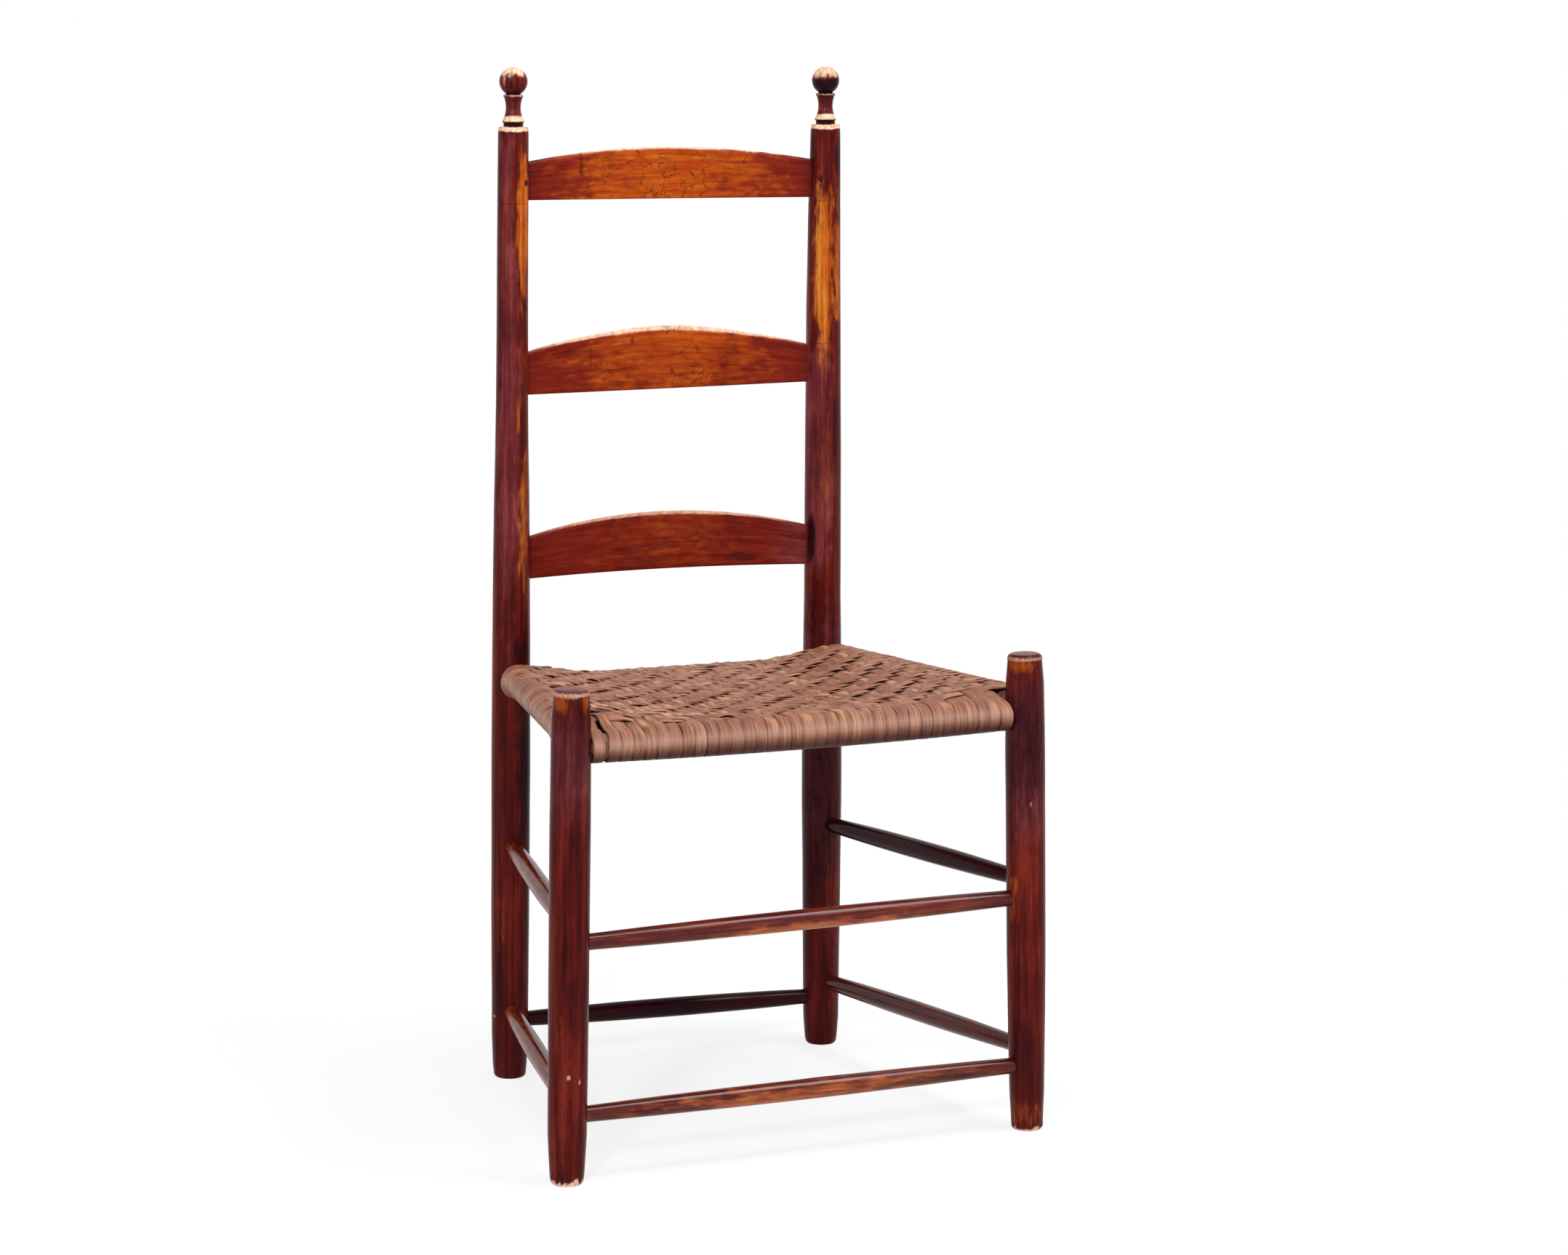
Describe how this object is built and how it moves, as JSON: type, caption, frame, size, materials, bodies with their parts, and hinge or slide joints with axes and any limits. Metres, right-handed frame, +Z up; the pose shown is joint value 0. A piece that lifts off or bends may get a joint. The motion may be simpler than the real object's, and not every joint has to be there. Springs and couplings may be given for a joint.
{
  "type": "ladderback chair",
  "caption": "Ladderback side chair with turned posts and ball finials, arched bent slats, round stretchers and a woven splint seat.",
  "frame": {"origin": "on the floor, under the middle of the chair's box", "axes": "+Z up, the chair's front faces -Y, +X to the right of someone who looks at its front"},
  "size_m": [0.5244, 0.4009, 1.0405],
  "materials": {
    "post_maple": "old red-brown shellac over turned maple, glossy, worn to amber where hands and feet rub",
    "slat_maple": "amber to red-brown shellac over riven maple, darker at the ends",
    "stretcher_maple": "red-brown shellac over turned maple, glossy",
    "rail_ash": "bare turned ash, hidden under the splint",
    "pin_oak": "dark stained whittled pin",
    "ash_splint": "aged brown ash splint, satin, fine fibres along the strip"
  },
  "bodies": {
    "root": {"front_post_left": "post_maple", "front_post_right": "post_maple", "rear_post_left": "post_maple", "rear_post_right": "post_maple", "top_slat": "slat_maple", "middle_slat": "slat_maple", "bottom_slat": "slat_maple", "top_slat_pin_left": "pin_oak", "top_slat_pin_right": "pin_oak", "front_seat_rail": "rail_ash", "rear_seat_rail": "rail_ash", "left_seat_rail": "rail_ash", "right_seat_rail": "rail_ash", "front_upper_stretcher": "stretcher_maple", "front_lower_stretcher": "stretcher_maple", "rear_lower_stretcher": "stretcher_maple", "left_upper_stretcher": "stretcher_maple", "left_lower_stretcher": "stretcher_maple", "right_upper_stretcher": "stretcher_maple", "right_lower_stretcher": "stretcher_maple", "splint_wrap_front": "ash_splint", "splint_wrap_rear": "ash_splint", "splint_wrap_left": "ash_splint", "splint_wrap_right": "ash_splint", "splint_seat_top": "ash_splint", "splint_seat_underside": "ash_splint"}
  },
  "joints": []
}
